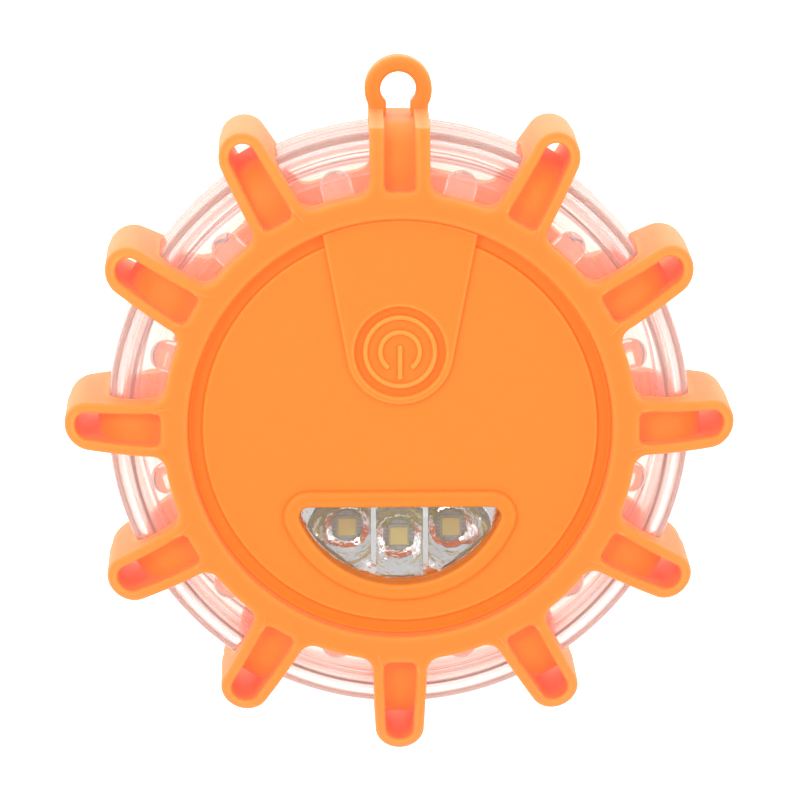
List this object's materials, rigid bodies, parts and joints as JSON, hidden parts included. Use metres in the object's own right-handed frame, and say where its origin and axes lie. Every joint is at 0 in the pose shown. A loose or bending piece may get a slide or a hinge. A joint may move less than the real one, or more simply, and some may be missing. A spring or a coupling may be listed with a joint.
{
  "type": "led safety flare",
  "caption": "Puck-shaped road flare: clear body with side-firing LEDs, chrome work light and power button, in an orange rubber bumper with hollow arms, hanging loop and magnet back",
  "frame": {"origin": "Centre of the magnet's outer face, on the plane the flare rests on when it lies on its back", "axes": "+Z points out of the front face, +Y points to the hanging loop, +X to the right seen from the front"},
  "size_m": [0.104, 0.1081, 0.033],
  "materials": {
    "orange_rubber": "soft satin thermoplastic rubber, rounded edges",
    "orange_cover": "fine matt moulded surface",
    "orange_button": "soft matt keypad rubber",
    "clear_plastic": "clear polished polycarbonate",
    "white_board": "white solder resist",
    "plated_reflector": "vacuum-plated plastic bowls",
    "white_plastic": "plain moulded plastic",
    "black_plastic": "plain moulded plastic",
    "chip_body": "epoxy package with tinned legs",
    "capacitor_can": "bare can on a black base",
    "red_led": "tinted clear epoxy",
    "phosphor_led": "yellow phosphor on a white package",
    "steel": "zinc-plated steel",
    "contact_metal": "nickel-plated spring steel",
    "cell_jacket": "plain blue printed jacket with bare ends",
    "red_wire": "insulated lead",
    "black_wire": "insulated lead",
    "seal_rubber": "silicone",
    "magnet_ferrite": "ground ferrite"
  },
  "bodies": {
    "flare": {"rubber_bumper": "orange_rubber", "face_cover": "orange_cover", "front_shell": "clear_plastic", "rear_shell": "clear_plastic", "main_board": "white_board", "work_light_reflector": "plated_reflector", "tact_switch": "black_plastic", "controller_chip": "chip_body", "chip_resistors": "chip_body", "bulk_capacitor": "capacitor_can", "board_screws": "steel", "battery_bay": "white_plastic", "positive_contact": "contact_metal", "negative_contact": "contact_metal", "bridge_contact_left": "contact_metal", "bridge_contact_right": "contact_metal", "contact_springs": "contact_metal", "positive_wire": "red_wire", "negative_wire": "black_wire", "bay_screws": "steel", "work_led_1": "phosphor_led", "battery_1": "cell_jacket", "work_led_2": "phosphor_led", "battery_2": "cell_jacket", "work_led_3": "phosphor_led", "battery_3": "cell_jacket", "side_led_1": "red_led", "side_led_2": "red_led", "side_led_3": "red_led", "side_led_4": "red_led", "side_led_5": "red_led", "side_led_6": "red_led", "side_led_7": "red_led", "side_led_8": "red_led", "side_led_9": "red_led", "side_led_10": "red_led", "side_led_11": "red_led", "side_led_12": "red_led"},
    "button": {"power_button": "orange_button"},
    "plunger": {"switch_plunger": "white_plastic"},
    "door": {"battery_door": "orange_cover", "door_seal": "seal_rubber", "magnet": "magnet_ferrite", "magnet_cup": "steel"},
    "screw_1": {"door_screw_1": "steel"},
    "screw_2": {"door_screw_2": "steel"},
    "screw_3": {"door_screw_3": "steel"},
    "screw_4": {"door_screw_4": "steel"}
  },
  "joints": [
    {"name": "button_press", "type": "slide", "parent": "flare", "child": "button", "axis": [0, 0, -1], "range_m": [0, 0.0005], "stiffness_N_per_m": 2000, "springref_m": -0.0003},
    {"name": "plunger_press", "type": "slide", "parent": "flare", "child": "plunger", "axis": [0, 0, -1], "range_m": [0, 0.00025]},
    {"name": "door_lift", "type": "slide", "parent": "flare", "child": "door", "axis": [0, 0, -1], "range_m": [0, 0.03]},
    {"name": "door_screw_1_turn", "type": "hinge", "parent": "door", "child": "screw_1", "pos_m": [0.012, 0.0232, 0], "axis": [0, 0, -1], "continuous": true},
    {"name": "door_screw_2_turn", "type": "hinge", "parent": "door", "child": "screw_2", "pos_m": [-0.012, 0.0232, 0], "axis": [0, 0, -1], "continuous": true},
    {"name": "door_screw_3_turn", "type": "hinge", "parent": "door", "child": "screw_3", "pos_m": [-0.012, -0.0232, 0], "axis": [0, 0, -1], "continuous": true},
    {"name": "door_screw_4_turn", "type": "hinge", "parent": "door", "child": "screw_4", "pos_m": [0.012, -0.0232, 0], "axis": [0, 0, -1], "continuous": true}
  ],
  "couplings": [
    {"joint": "plunger_press", "follows": "button_press", "ratio": 0.5}
  ]
}
